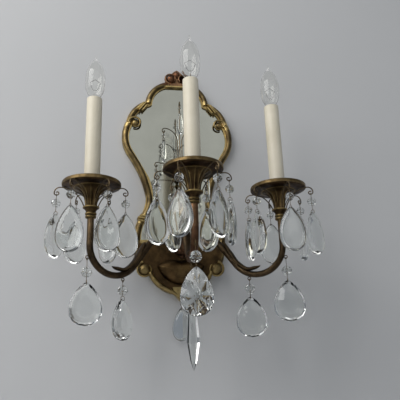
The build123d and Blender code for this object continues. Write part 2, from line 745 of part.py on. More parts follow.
with BuildPart() as spray_frame:
    with BuildSketch(upright(0, hub_y, 0)):
        with BuildLine():
            Line((0, 24), (spray_stem_radius, 24))
            Line((spray_stem_radius, 24), (spray_stem_radius, spray_cup_z - 16))
            ThreePointArc(
                (spray_stem_radius, spray_cup_z - 16),
                (spray_stem_radius + 3, spray_cup_z - 13),
                (spray_stem_radius, spray_cup_z - 10),
            )
            ThreePointArc(
                (spray_stem_radius, spray_cup_z - 10),
                (spray_stem_radius + 3.5, spray_cup_z - 5),
                (spray_cup_radius, spray_cup_z),
            )
            Line((spray_cup_radius, spray_cup_z), (0, spray_cup_z))
            Line((0, spray_cup_z), (0, 24))
        make_face()
    revolve(axis=Axis((0, hub_y, 0), (0, 0, 1)))
    for name, angle, start, crest_at in spray_wires:
        hinges["spray", name] = spray_wire(angle, start, crest_at)
save(spray_frame.part, "spray_frame")


# ---------------------------------------------------------------- crystal pendants
def pear_outline(width, length, size, plane):
    """A pear-shaped outline hanging from the plane's origin, drawn in towards its belly."""
    middle = -0.56 * length
    right = []
    left = []
    for step in range(1, 6):
        turn = pi * step / 6
        swell = sin(turn) ** 1.3 if step < 3 else sin(turn)
        half = 0.49 * width * swell * (1 - 0.3 * cos(turn))
        level = middle + size * (-0.5 * length * (1 - cos(turn)) - middle)
        right.append((size * half, level))
        left.insert(0, (-size * half, level))
    top = (0, middle - size * middle)
    bottom = (0, middle + size * (-length - middle))
    with BuildSketch(plane) as outline:
        Polygon(top, *right, bottom, *left, align=None)
    return outline.sketch


def spear_outline(width, length, size, plane):
    """A long icicle outline, widest near its top."""
    with BuildSketch(plane) as outline:
        half = 0.5 * width * size
        Polygon(
            (0, -0.3 * length * (1 - size)),
            (half, -0.13 * length),
            (0.62 * half, -0.6 * length),
            (0, -length + 0.4 * length * (1 - size)),
            (-0.62 * half, -0.6 * length),
            (-half, -0.13 * length),
            align=None,
        )
    return outline.sketch


def crystal(x, y, z, face, size, outline):
    """One cut crystal hanging below (x, y, z), its broad face across the face angle."""
    width, length, thickness = size
    plane = upright(x, y, z, face)
    sections = [
        outline(width, length, 0.6, plane.offset(-thickness / 2)),
        outline(width, length, 1.0, plane),
        outline(width, length, 0.6, plane.offset(thickness / 2)),
    ]
    loft(sections=sections, ruled=True)
    with BuildSketch(upright(x, y, z, face)) as hole:
        with Locations((0, -0.3 - drop_ring_apothem - 0.1 * thickness - pin_wire / 2)):
            RegularPolygon(drop_hole_radius, 6)
    extrude(hole.sketch, amount=thickness, both=True, mode=Mode.SUBTRACT)


def bead(x, y, z, radius):
    """One octagonal bead on the pendant's wire, with a hole down its middle."""
    height = 1.75 * radius
    sections = []
    for share, level in ((0.5, -0.5), (1.0, 0.0), (0.5, 0.5)):
        with BuildSketch(Plane((x, y, z + level * height))) as slice_outline:
            RegularPolygon(share * radius, 8)
        sections.append(slice_outline.sketch)
    loft(sections=sections, ruled=True)
    with BuildSketch(Plane((x, y, z))) as hole:
        Rectangle(bead_hole, bead_hole)
    extrude(hole.sketch, amount=height, both=True, mode=Mode.SUBTRACT)


def link(x, y, z, angle, face, drop_top, thickness):
    """The bent wire of a pendant: a ring on its hook, a pin down, and a ring in the crystal."""
    across = upright(x, y, z, angle + 90)
    with BuildSketch(across) as hook_ring:
        RegularPolygon(hook_ring_apothem + pin_wire, 6, major_radius=False)
        RegularPolygon(hook_ring_apothem, 6, major_radius=False, mode=Mode.SUBTRACT)
    extrude(hook_ring.sketch, amount=pin_wire / 2, both=True)
    ring_size = drop_ring_apothem + 0.1 * thickness
    with BuildSketch(upright(x, y, z - drop_top - 0.3, face + 90)) as drop_ring:
        RegularPolygon(ring_size + pin_wire, 6, major_radius=False)
        RegularPolygon(ring_size, 6, major_radius=False, mode=Mode.SUBTRACT)
    extrude(drop_ring.sketch, amount=pin_wire / 2, both=True)
    pin_top = z - hook_ring_apothem - 0.2
    pin_bottom = z - drop_top + ring_size - 0.1
    with BuildSketch(Plane((x, y, pin_bottom), x_dir=(cos(radians(angle)), sin(radians(angle)), 0))) as pin:
        Rectangle(pin_wire, pin_wire)
    extrude(pin.sketch, amount=pin_top - pin_bottom)


# each pendant: name, hinge, turn of the crystal, bead radius, bead and crystal below, size
pendants = []
for side in ("left", "centre", "right"):
    for number, turn in enumerate(crystal_turns[side], start=1):
        pendants.append(
            (f"pendant_{side}_{number}", hinges[side, number], turn, 6.8, 13, 29, pan_drop_size, pear_outline)
        )
for side in ("left", "right"):
    pendants.append(
        (f"pendant_{side}_outer", hinges[side, "outer"], 20, 8, 19.5, 34, arm_drop_size, pear_outline)
    )
    pendants.append(
        (f"pendant_{side}_inner", hinges[side, "inner"], 20, 8, 14, 26, arm_drop_size, pear_outline)
    )
pendants.append(
    ("pendant_front", hinges["centre", "outer"], 90, 8.8, 18, 32, front_drop_size, pear_outline)
)
pendants.append(
    ("pendant_spear", hinges["centre", "inner"], 90, 7, 16, 35, spear_size, spear_outline)
)
tip_hinge = (0, tip_pendant_y, tip_eye_z - (eye_radius + eye_hole_radius) / 2, -90)
pendants.append(("pendant_tip", tip_hinge, 70, 0, 0, 6.5, tip_drop_size, pear_outline))
for name, angle, start, crest_at in spray_wires:
    pendants.append(
        (f"pendant_spray_{name}", hinges["spray", name], 90, 3.4, 7, 14, spray_drop_size, pear_outline)
    )

for name, hinge, turn, bead_radius, bead_drop, crystal_drop, size, outline in pendants:
    x, y, z, angle = hinge
    face = angle + turn
    with BuildPart() as pendant:
        crystal(x, y, z - crystal_drop, face, size, outline)
        if bead_radius > 0:
            bead(x, y, z - bead_drop, bead_radius)
        link(x, y, z, angle, face, crystal_drop, size[2])
    save(pendant.part, name)
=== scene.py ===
import json
from math import atan2, cos, degrees, hypot, pi, radians, sin, sqrt

import bmesh
import bpy
from mathutils import Matrix, Vector

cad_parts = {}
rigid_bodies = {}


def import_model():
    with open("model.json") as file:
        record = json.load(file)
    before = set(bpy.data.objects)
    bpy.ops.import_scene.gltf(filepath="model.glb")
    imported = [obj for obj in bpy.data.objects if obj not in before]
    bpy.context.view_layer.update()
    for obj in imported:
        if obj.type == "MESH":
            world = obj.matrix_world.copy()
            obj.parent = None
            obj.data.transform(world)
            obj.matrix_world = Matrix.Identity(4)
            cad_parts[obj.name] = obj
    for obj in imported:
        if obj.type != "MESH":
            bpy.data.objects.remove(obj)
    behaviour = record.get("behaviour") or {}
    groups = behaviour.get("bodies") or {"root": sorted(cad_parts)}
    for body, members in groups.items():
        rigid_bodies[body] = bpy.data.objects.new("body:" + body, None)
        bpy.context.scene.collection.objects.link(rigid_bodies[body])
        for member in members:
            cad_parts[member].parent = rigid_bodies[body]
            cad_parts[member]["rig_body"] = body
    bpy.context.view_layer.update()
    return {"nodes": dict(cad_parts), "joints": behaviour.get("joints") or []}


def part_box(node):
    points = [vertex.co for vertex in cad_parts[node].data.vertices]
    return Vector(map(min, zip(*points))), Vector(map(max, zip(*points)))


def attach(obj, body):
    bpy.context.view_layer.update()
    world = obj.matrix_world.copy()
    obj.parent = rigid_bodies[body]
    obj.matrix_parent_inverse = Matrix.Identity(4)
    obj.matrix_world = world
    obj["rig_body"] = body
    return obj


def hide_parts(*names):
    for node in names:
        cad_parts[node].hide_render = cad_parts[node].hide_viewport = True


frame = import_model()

# The look of a crystal wall sconce, built round its CAD nodes. The wall is the plane y = 0, the
# front faces -Y and Z is up. Sizes are in millimetres and angles in degrees; only the stage and
# the lights are placed in metres.
MM = 0.001

# ---------------------------------------------------------------- driving sizes
# hub and arms
HUB_Y = -34.0
HUB_RADIUS = 14.0
ARM_START = (10.0, -0.5)
ENTRY_BEND, ENTRY_TURN = 21.0, 41.8
CREST_BEND = 30.0
SIDE_DESCENT, CENTRE_DESCENT = 53.0, 60.0
SIDE_BOWL, CENTRE_BOWL = 43.0, 40.0
EYE_OUT, EYE_RADIUS, EYE_WIRE = 7.4, 2.45, 0.75
SIDE_EYE_TURNS, CENTRE_EYE_TURNS = (67.0, -17.0), (60.0, -10.0)
ARM_HALF_WIDTH, ARM_NARROWING = 6.4, 0.6
ARM_HALF_DEPTH, HUB_THICKENING = 4.9, 2.2
LEAF_INSET = 4.0
LEAF_HALF_WIDTH, LEAF_HALF_DEPTH = 6.9, 3.4

# cups, pans and hooks; drops are measured down from the pan's rim
CUP_FOOT_DROP = 57.0
CUP_BASE_DROP = 38.5
CUP_NECK_INSET = 3.6
FOOT_BEAD = 2.3
FLUTES = 12
FLUTE_DEPTH, FLUTE_GAIN, FLUTE_RISE = 0.9, 1.7, 30.0
POST = 4.9
PAN_RADIUS = 45.0
PAN_FLOOR_DROP = 7.0
PAN_THICKNESS = 1.5
WIRE = 0.9
HOOK_INSET = 1.8
HOOK_HEADING = 72.4
HOOK_MOVES = [(50.5, -28.8), (32.6, -43.6), (9.0, -90), (3.6, -150), (2.3, -140), (1.5, -60)]

# candles and lamps; heights are measured up from the sleeve's top
SLEEVE_RADIUS = 12.3
SLEEVE_WALL = 1.6
SLEEVE_LENGTH = 152.0
LAMP_RADIUS = 16.4
LAMP_TIP = 81.5
LAMP_WALL = 0.75
LAMP_HOLLOW_TOP = 72.6
LAMP_BASE_RADIUS = 5.9
THREAD_START, THREAD_TURNS, THREAD_PITCH = -14.0, 5, 2.2
THREAD_ROOT, THREAD_CREST = 5.45, 5.85
FILAMENT_RADIUS, FILAMENT_HEIGHT = 9.0, 27.0
FILAMENT_WIRE, SUPPORT_WIRE = 0.36, 0.28

# pendants, spray and frame
PIN_WIRE = 0.42
RING_RADIUS = 1.9
LOOP_RADIUS = 2.2
PIN_TOP_DROP = 2.2
BEAD_SIDES = 8
SPEAR_SIDES = 8
FRONT_WIDTH_SHARE = 0.92
SPRAY_WIRE = 0.85
SPRAY_CURL = [(6.0, -90), (2.6, -150), (1.7, -120)]
SHIELD_LEVEL = 14.0
SHIELD_TOP = 20.0
CREST_FROM, CREST_FACE_FROM, CREST_FACE_LEVEL = 328.0, 330.0, 12.5
ROLL_LEVEL = 14.5
ROLL_HALF_WIDTH, ROLL_HALF_DEPTH = (3.4, 2.6), (2.4, 2.4)

SIDE_PAN = (149.0, -124.0, 85.0)
CENTRE_PAN = (0.0, -188.0, 91.0)
PANS = {
    "left": (-SIDE_PAN[0], SIDE_PAN[1], SIDE_PAN[2]),
    "centre": CENTRE_PAN,
    "right": SIDE_PAN,
}
CUP_BASE = {"left": 12.5, "centre": 14.0, "right": 12.5}
HOOKS = {
    "left": (0, 60, 120, 180, -120, -60),
    "centre": (0, 60, 120, 180, -120, -60),
    "right": (30, 90, 150, -150, -90, -30),
}

# distance from hinge to bead and to crystal, bead radius, by kind of pendant
KINDS = {
    "pan": (13.0, 29.0, 6.8),
    "outer": (19.5, 34.0, 8.0),
    "inner": (14.0, 26.0, 8.0),
    "front": (18.0, 32.0, 8.8),
    "spear": (16.0, 35.0, 7.0),
    "tip": (0.0, 6.5, 0.0),
    "spray": (7.0, 14.0, 3.4),
}


# ---------------------------------------------------------------- materials
BLACK = (0.0, 0.0, 0.0)
WHITE = (1.0, 1.0, 1.0)
# the colour of the painted shade laid into concave places of the brass
PAINTED_HOLLOW_SHADE = (0.30, 0.27, 0.24)


def grey(level):
    """A neutral colour."""
    return (level, level, level)


def shader(name):
    """A new material with its Principled node, ready to be set."""
    made = bpy.data.materials.new(name)
    made.use_nodes = True
    return made, made.node_tree.nodes["Principled BSDF"], made.node_tree


def socket(node, name, value):
    """Set one input of a shader node."""
    node.inputs[name].default_value = value


def noise(tree, scale, detail):
    """A noise texture in object space."""
    place = tree.nodes.new("ShaderNodeTexCoord")
    made = tree.nodes.new("ShaderNodeTexNoise")
    socket(made, "Scale", scale)
    socket(made, "Detail", detail)
    socket(made, "Roughness", 0.6)
    tree.links.new(place.outputs["Object"], made.inputs["Vector"])
    return made.outputs["Fac"]


def ramp(tree, value, stops):
    """A colour ramp fed by a value; stops are (position, colour)."""
    made = tree.nodes.new("ShaderNodeValToRGB")
    elements = made.color_ramp.elements
    while len(elements) < len(stops):
        elements.new(0.5)
    for element, (position, colour) in zip(elements, stops):
        element.position = position
        element.color = (*colour, 1.0)
    tree.links.new(value, made.inputs["Fac"])
    return made.outputs["Color"]


def mix(tree, share, first, second, blend="MIX"):
    """Mix two colours by a share, each a socket."""
    made = tree.nodes.new("ShaderNodeMix")
    made.data_type = "RGBA"
    made.blend_type = blend
    if isinstance(share, float):
        made.inputs["Factor"].default_value = share
    else:
        tree.links.new(share, made.inputs["Factor"])
    tree.links.new(first, made.inputs["A"])
    tree.links.new(second, made.inputs["B"])
    return made.outputs["Result"]


def bump(tree, principled, height, strength, distance):
    """Raise a material's surface a little by a height texture."""
    made = tree.nodes.new("ShaderNodeBump")
    socket(made, "Strength", strength)
    socket(made, "Distance", distance)
    tree.links.new(height, made.inputs["Height"])
    tree.links.new(made.outputs["Normal"], principled.inputs["Normal"])


def patina(name, shade, body, rubbed, roughness=(0.30, 0.55)):
    """Dark-patinated cast brass, rubbed through on its edges, with painted shade in its hollows."""
    made, principled, tree = shader(name)
    socket(principled, "Metallic", 1.0)
    blotches = ramp(tree, noise(tree, 45.0, 6.0), [(0.35, shade), (0.68, body)])
    grain = ramp(tree, noise(tree, 420.0, 3.0), [(0.3, grey(0.75)), (0.7, WHITE)])
    mottled = mix(tree, 0.7, blotches, mix(tree, 1.0, blotches, grain, "MULTIPLY"))
    pointed = tree.nodes.new("ShaderNodeNewGeometry").outputs["Pointiness"]
    worn = ramp(tree, pointed, [(0.5, BLACK), (0.58, WHITE)])
    patch = ramp(tree, noise(tree, 90.0, 5.0), [(0.35, grey(0.35)), (0.65, WHITE)])
    share = mix(tree, 1.0, worn, patch, "MULTIPLY")
    gold = tree.nodes.new("ShaderNodeRGB")
    gold.outputs[0].default_value = (*rubbed, 1.0)
    colour = mix(tree, share, mottled, gold.outputs[0])
    # painted shade: hollows (low pointiness) are darkened to stand in for the shade that falls
    # there
    hollow = ramp(tree, pointed, [(0.40, PAINTED_HOLLOW_SHADE), (0.485, WHITE)])
    tree.links.new(mix(tree, 1.0, colour, hollow, "MULTIPLY"), principled.inputs["Base Color"])
    low, high = roughness
    rough = ramp(tree, noise(tree, 160.0, 4.0), [(0.3, grey(low)), (0.7, grey(high))])
    tree.links.new(rough, principled.inputs["Roughness"])
    bump(tree, principled, noise(tree, 700.0, 2.0), 0.12, 0.0006)
    return made


def glass(name, colour, index):
    """Clear glass with a faint unevenness."""
    made, principled, tree = shader(name)
    socket(principled, "Base Color", (*colour, 1.0))
    socket(principled, "Transmission Weight", 1.0)
    socket(principled, "Roughness", 0.0)
    socket(principled, "IOR", index)
    bump(tree, principled, noise(tree, 70.0, 1.0), 0.02, 0.0005)
    return made


def plain(name, dark, light, roughness, metallic=0.0, scale=30.0):
    """A quiet surface that varies a little between two shades."""
    made, principled, tree = shader(name)
    shades = ramp(tree, noise(tree, scale, 5.0), [(0.35, dark), (0.65, light)])
    tree.links.new(shades, principled.inputs["Base Color"])
    socket(principled, "Roughness", roughness)
    socket(principled, "Metallic", metallic)
    bump(tree, principled, noise(tree, 500.0, 2.0), 0.06, 0.0004)
    return made


# patinas: the dark of the blotches, the body colour and the colour where it is rubbed
brass = patina("patinated_brass", (0.045, 0.030, 0.016), (0.185, 0.128, 0.056), (0.60, 0.45, 0.19))
cup_brass = patina("cup_brass", (0.026, 0.015, 0.008), (0.125, 0.080, 0.034), (0.56, 0.41, 0.17))
pan_brass = patina("pan_brass", (0.024, 0.014, 0.008), (0.110, 0.069, 0.031), (0.38, 0.27, 0.12))
boss_brass = patina("boss_patina", (0.030, 0.018, 0.009), (0.135, 0.080, 0.034), (0.42, 0.28, 0.12))
dark_brass = patina(
    "darkened_brass", (0.014, 0.010, 0.008), (0.050, 0.033, 0.021), (0.20, 0.135, 0.070)
)
wire_brass = patina("wire_brass", (0.020, 0.015, 0.011), (0.070, 0.050, 0.030), (0.20, 0.145, 0.08))
copper = patina(
    "copper_tinted_brass", (0.036, 0.015, 0.010), (0.135, 0.056, 0.034), (0.36, 0.18, 0.09)
)
# painted shade: a darker copy of the pans' brass, laid on each pan's underside
painted_pan_underside_shade = patina("umber_painted_underside_shade", (0.018, 0.010, 0.006), (0.075, 0.038, 0.018), (0.30, 0.18, 0.075))
russet = patina("russet_patina", (0.026, 0.013, 0.009), (0.100, 0.045, 0.028), (0.30, 0.17, 0.09))
# painted shade: a near-black finish laid on the shield's sunk face in place of the shade in its
# recess
painted_recess_shade = patina(
    "recess_painted_shade", (0.008, 0.006, 0.005), (0.032, 0.018, 0.010), (0.13, 0.08, 0.035),
    (0.45, 0.7),
)
crystal_glass = glass("crystal", (0.955, 0.975, 0.96), 1.52)
lamp_glass = glass("lamp_glass", (0.975, 0.975, 0.96), 1.32)
silvering = plain("mirror", (0.33, 0.33, 0.29), (0.39, 0.39, 0.345), 0.08, 1.0, 9.0)
board = plain("backing_board", (0.22, 0.15, 0.09), (0.34, 0.25, 0.16), 0.75)
ivory = plain("ivory_sleeve", (0.70, 0.64, 0.50), (0.78, 0.72, 0.585), 0.42, 0.0, 22.0)
phenolic = plain("socket_plastic", (0.012, 0.010, 0.009), (0.03, 0.025, 0.02), 0.3)
steel = plain("plated_steel", (0.36, 0.34, 0.29), (0.52, 0.50, 0.44), 0.35, 1.0)
cover = plain("wire_cover", (0.32, 0.24, 0.12), (0.44, 0.34, 0.18), 0.5)
lamp_brass = plain("lamp_base", (0.50, 0.38, 0.18), (0.62, 0.50, 0.26), 0.28, 1.0)
tungsten = plain("tungsten", (0.05, 0.05, 0.05), (0.10, 0.10, 0.10), 0.4, 1.0)


# ---------------------------------------------------------------- mesh helpers
UP = Vector((0, 0, 1))
WELD = 1e-6
BEVEL_FROM = 40.0


def surface(name, vertices, faces, material, sharp, weld=False):
    """A mesh with one finish. Edges sharper than the angle stay crisp, and at 0 all do."""
    mesh = bpy.data.meshes.new(name)
    mesh.from_pydata(vertices, [], faces)
    shape = bmesh.new()
    shape.from_mesh(mesh)
    if weld:
        bmesh.ops.remove_doubles(shape, verts=shape.verts, dist=WELD)
    bmesh.ops.recalc_face_normals(shape, faces=shape.faces)
    shape.to_mesh(mesh)
    shape.free()
    mesh.materials.append(material)
    for polygon in mesh.polygons:
        polygon.use_smooth = sharp > 0
    if sharp > 0:
        mesh.set_sharp_from_angle(angle=radians(sharp))
    made = bpy.data.objects.new(name, mesh)
    bpy.context.scene.collection.objects.link(made)
    return made


def piece(name, vertices, faces, material, body="sconce", sharp=35.0):
    """A mesh given in millimetres that rides on a body."""
    placed = [(v[0] * MM, v[1] * MM, v[2] * MM) for v in vertices]
    made = surface(name, placed, faces, material, sharp)
    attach(made, body)
    return made


def body_of_node(node):
    """The body that a CAD node belongs to."""
    return frame["nodes"][node]["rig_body"]


def copy_of(node, material, sharp, bevel=0.0):
    """The CAD node's own shape with a finish, its round faces smooth."""
    source = frame["nodes"][node].data
    vertices = [tuple(v.co) for v in source.vertices]
    faces = [tuple(p.vertices) for p in source.polygons]
    made = surface(f"{node}_shape", vertices, faces, material, sharp, weld=True)
    if bevel > 0:
        rounding = made.modifiers.new("rounding", "BEVEL")
        rounding.width = bevel * MM
        rounding.segments = 2
        rounding.limit_method = "ANGLE"
        rounding.angle_limit = radians(BEVEL_FROM)
        rounding.harden_normals = True
    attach(made, body_of_node(node))
    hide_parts(node)
    return made


def bridge(rows, around, loop=False):
    """Faces between rows of vertices, each row closed round. The rows end in caps or in a loop."""
    faces = []
    last = rows if loop else rows - 1
    for row in range(last):
        low = row * around
        high = ((row + 1) % rows) * around
        for step in range(around):
            after = (step + 1) % around
            faces.append((low + step, low + after, high + after, high + step))
    if not loop:
        faces.append(tuple(range(around - 1, -1, -1)))
        faces.append(tuple(range((rows - 1) * around, rows * around)))
    return faces


def lathe(
    name, x, y, profile, material, body="sconce", steps=64, ripple=None, sharp=35.0, closed=False
):
    """Turn a profile of (radius, height) about the upright axis through (x, y)."""
    vertices = []
    for radius, height in profile:
        for step in range(steps):
            angle = 2 * pi * step / steps
            reach = radius - ripple(angle, height) if ripple else radius
            vertices.append((x + reach * cos(angle), y + reach * sin(angle), height))
    return piece(name, vertices, bridge(len(profile), steps, closed), material, body, sharp)


def arc(centre, radius, start, end, count):
    """Points on an arc, angles in degrees."""
    points = []
    for step in range(count + 1):
        angle = radians(start + (end - start) * step / count)
        points.append((centre[0] + radius * cos(angle), centre[1] + radius * sin(angle)))
    return points


def curve_through(points, count):
    """A smooth curve through a few points, in so many steps from one to the next."""
    ends = [points[0], *points, points[-1]]
    made = []
    for index in range(len(points) - 1):
        a, b, c, d = (Vector(p) for p in ends[index : index + 4])
        for step in range(count):
            t = step / count
            line = 2 * b + (c - a) * t
            bend = (2 * a - 5 * b + 4 * c - d) * t * t
            twist = (3 * b - a - 3 * c + d) * t**3
            made.append(tuple(0.5 * (line + bend + twist)))
    made.append(tuple(points[-1]))
    return made


def walk(start, heading, moves, step):
    """Points along a route in a plane. A move is (length,) or (radius, turn in degrees).

    A turn is cut into pieces about a step long.
    """
    x, z = start
    points = [(x, z)]
    angle = radians(heading)
    for move in moves:
        if len(move) == 1:
            x, z = x + move[0] * cos(angle), z + move[0] * sin(angle)
            points.append((x, z))
            continue
        radius, turn = move[0], radians(move[1])
        reach = radius if turn > 0 else -radius
        count = max(2, int(abs(turn) * radius / step))
        centre = (x - reach * sin(angle), z + reach * cos(angle))
        for index in range(1, count + 1):
            now = angle + turn * index / count
            points.append((centre[0] + reach * sin(now), centre[1] - reach * cos(now)))
        x, z = points[-1]
        angle += turn
    return points


def upright_points(route, x, y, angle):
    """Stand a route of (distance, height) up in the vertical plane at an angle."""
    turn = radians(angle)
    return [Vector((x + r * cos(turn), y + r * sin(turn), z)) for r, z in route]


def tube(name, points, normal, size, material, body="sconce", sides=10):
    """Sweep an ellipse along points that lie in one plane.

    Its half sizes (across the plane, in the plane) are fixed or a function of the share of
    the way along.
    """
    vertices = []
    normal = Vector(normal).normalized()
    count = len(points)
    for index, point in enumerate(points):
        before = points[max(index - 1, 0)]
        after = points[min(index + 1, count - 1)]
        along = (after - before).normalized()
        inward = along.cross(normal).normalized()
        across, deep = size(index / (count - 1)) if callable(size) else size
        for step in range(sides):
            angle = 2 * pi * step / sides
            vertices.append(point + normal * (across * cos(angle)) + inward * (deep * sin(angle)))
    return piece(name, vertices, bridge(count, sides), material, body, 40.0)


def side_of(angle):
    """The horizontal direction across the vertical plane at an angle."""
    turn = radians(angle)
    return Vector((sin(turn), -cos(turn), 0))


def ring(name, centre, normal, radius, wire, material, body, steps=14, sides=7):
    """A small wire ring about a centre, in the plane across the normal."""
    normal = Vector(normal).normalized()
    first = normal.cross(UP)
    if first.length < 0.1:
        first = Vector((1, 0, 0))
    first.normalize()
    second = normal.cross(first)
    vertices = []
    for step in range(steps):
        turn = 2 * pi * step / steps
        out = first * cos(turn) + second * sin(turn)
        for side in range(sides):
            roll = 2 * pi * side / sides
            spot = Vector(centre) + out * (radius + wire * cos(roll))
            vertices.append(spot + normal * (wire * sin(roll)))
    piece(name, vertices, bridge(steps, sides, loop=True), material, body)


# ---------------------------------------------------------------- cups and pans
def cup(side):
    """The fluted trumpet, its turned base ring and its tapered foot."""
    x, y, rim = PANS[side]
    base = CUP_BASE[side]
    neck = base - CUP_NECK_INSET
    bottom = rim - CUP_FOOT_DROP
    ring_top = rim - CUP_BASE_DROP
    foot = [
        (5.0, bottom), (6.4, bottom), (6.6, bottom + 0.6),
        *arc((6.2, bottom + 2.6), FOOT_BEAD, -60, 60, 8),
        (6.6, bottom + 5.0),
        *arc((6.4, bottom + 7.2), FOOT_BEAD, -60, 60, 8),
        (7.6, bottom + 9.6), (7.9, bottom + 12.0),
        (base - 2.2, ring_top - 3.4), (base - 1.0, ring_top - 2.6), (base - 0.2, ring_top - 2.3),
        (base, ring_top - 1.6), (base, ring_top - 0.7), (base - 0.5, ring_top - 0.1),
        (base - 1.6, ring_top), (POST, ring_top),
    ]
    lathe(f"cup_foot_{side}", x, y, foot, cup_brass, steps=48)
    flare = curve_through(
        [
            (neck, ring_top - 0.1), (neck + 0.5, ring_top + 5.5), (neck + 1.9, ring_top + 13),
            (neck + 5.4, ring_top + 21), (neck + 10.4, ring_top + 26), (27.6, ring_top + 29.6),
        ],
        7,
    )

    def flutes(angle, height):
        """Depth of the flutes, which grow upwards and run out under the pan."""
        rise = (height - ring_top) / FLUTE_RISE
        depth = FLUTE_DEPTH + FLUTE_GAIN * rise
        depth *= min(1.0, max(0.0, (1.03 - rise) * 7.0))
        return depth * abs(sin(0.5 * FLUTES * angle))

    lathe(f"cup_{side}_flare", x, y, flare, cup_brass, steps=144, ripple=flutes, sharp=60.0)


def pan(side):
    """The spun drip pan with its broad lip, with painted shade underneath."""
    x, y, rim = PANS[side]
    lip = PAN_RADIUS
    floor = rim - PAN_FLOOR_DROP
    under = floor - PAN_THICKNESS
    below = [(lip - 15, under + 0.1), (lip - 9, under + 0.5), (lip - 3.5, under + 1.6)]
    dish = [(lip - 2.7, rim - 1.8), (lip - 4.5, floor + 3.0), (lip - 9, floor + 0.9)]
    profile = [
        (POST, under), (lip - 15.5, under),
        *curve_through(below, 4),
        (lip - 2.4, under + 2.1), (lip - 2.1, under + 2.4), (lip - 0.7, under + 2.6),
        (lip - 0.1, under + 3.2), (lip, under + 5.2), (lip - 0.2, rim - 1.4),
        (lip - 0.8, rim - 0.4), (lip - 1.5, rim), (lip - 2.1, rim - 0.5),
        *curve_through([*dish, (lip - 17, floor)], 5),
        (14.0, floor), (13.6, floor + 0.5), (POST, floor + 0.5),
    ]
    made = lathe(f"pan_{side}_spun", x, y, profile, pan_brass, steps=96, closed=True)
    made.data.materials.append(painted_pan_underside_shade)
    # painted shade: the faces on the pan's underside take the darker finish
    for polygon in made.data.polygons:
        if polygon.center.z < (under + 2.3) * MM:
            polygon.material_index = 1
    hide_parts(f"pan_{side}")


def pan_hooks(side):
    """The six wires that carry a pan's crystals."""
    x, y, rim = PANS[side]
    for number, angle in enumerate(HOOKS[side], start=1):
        start = (CUP_BASE[side] - HOOK_INSET, rim - CUP_BASE_DROP + 0.3)
        points = upright_points(walk(start, HOOK_HEADING, HOOK_MOVES, 1.3), x, y, angle)
        tube(f"hook_{side}_{number}", points, side_of(angle), (WIRE, WIRE), wire_brass, sides=8)


def candle(side):
    """The sleeve with its softened ends."""
    x, y, rim = PANS[side]
    low = rim - PAN_FLOOR_DROP
    top = low + SLEEVE_LENGTH
    outer, inner = SLEEVE_RADIUS, SLEEVE_RADIUS - SLEEVE_WALL
    profile = [
        (inner, low), (outer - 0.4, low), (outer, low + 0.5), (outer, low + 40),
        (outer, low + 90), (outer, top - 0.9), (outer - 0.3, top - 0.25), (outer - 0.8, top),
        (inner + 0.3, top), (inner, top - 0.4),
    ]
    made = lathe(f"sleeve_{side}", x, y, profile, ivory, closed=True)
    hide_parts(f"candle_sleeve_{side}")


# ---------------------------------------------------------------- lamps
# (radius, height) of the glass from its seat to its shoulder, and of the nipple that closes it
BULB = [
    (5.0, -3), (5.4, 1.5), (9.4, 5.5), (12.4, 10), (15.1, 18), (LAMP_RADIUS, 31),
    (15.9, 43), (14.3, 51), (11.9, 58.5), (8.9, 64.5), (5.6, 69.4), (3.0, 72.4),
]
NIPPLE = [(2.2, 74.0), (1.9, 78.0), (1.5, 80.4), (0.8, 81.3), (0.15, LAMP_TIP)]
STEM = [(2.6, 3), (2.2, 6), (1.3, 10), (1.2, 14), (1.7, 16), (0.4, 17)]
SUPPORT = [(0.9, 15), (3.2, 17), (5.3, 19.7)]


def raised(route, level):
    """A route of (radius, height) lifted to a level."""
    return [(radius, level + height) for radius, height in route]


def screw_profile():
    """Half section of the screw base, from its contact to the rim that holds the glass."""
    profile = [(3.4, -17.0), (3.6, -15.1), (5.5, -14.8)]
    for turn in range(THREAD_TURNS):
        level = THREAD_START + THREAD_PITCH * turn
        profile += [(THREAD_ROOT, level), (THREAD_CREST, level + 0.7)]
        profile += [(THREAD_CREST, level + 1.2), (THREAD_ROOT, level + 1.8)]
    return profile + [(LAMP_BASE_RADIUS, -2.6), (LAMP_BASE_RADIUS, 1.8), (5.5, 2.0), (5.3, 1.6)]


def lamp(side):
    """The clear torpedo lamp: glass, screw base, stem and filament."""
    x, y, rim = PANS[side]
    top = rim - PAN_FLOOR_DROP + SLEEVE_LENGTH
    body = body_of_node(f"lamp_{side}")
    outside = curve_through(BULB, 4) + curve_through(NIPPLE, 3)
    inside = [(max(r - LAMP_WALL, 0.12), h - 0.2) for r, h in outside if h < LAMP_HOLLOW_TOP]
    lathe(f"lamp_glass_{side}", x, y, raised(outside, top), lamp_glass, body, steps=48, sharp=80)
    hollow = raised(inside, top)
    made = lathe(f"lamp_hollow_{side}", x, y, hollow, lamp_glass, body, steps=48, sharp=80)
    made.data.flip_normals()
    screw = raised(screw_profile(), top)
    made = lathe(f"lamp_base_{side}", x, y, screw, lamp_brass, body, steps=32)
    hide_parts(f"lamp_{side}")
    lathe(f"lamp_stem_{side}", x, y, raised(STEM, top), lamp_glass, body, steps=16)
    for across in (-1, 1):
        route = raised([(across * out, height) for out, height in SUPPORT], top)
        points = upright_points(route, x, y, 0)
        size = (SUPPORT_WIRE, SUPPORT_WIRE)
        tube(f"lamp_support_{side}_{across}", points, (0, 1, 0), size, tungsten, body, sides=5)
    loop = raised(arc((0.0, FILAMENT_HEIGHT), FILAMENT_RADIUS, 234, -54, 4), top)
    points = upright_points(loop, x, y, 0)
    size = (FILAMENT_WIRE, FILAMENT_WIRE)
    tube(f"lamp_filament_{side}", points, (0, 1, 0), size, tungsten, body, sides=6)


# ---------------------------------------------------------------- arms
SIDE_REACH = hypot(SIDE_PAN[0], SIDE_PAN[1] - HUB_Y)
SIDE_ANGLE = degrees(atan2(SIDE_PAN[1] - HUB_Y, SIDE_PAN[0]))

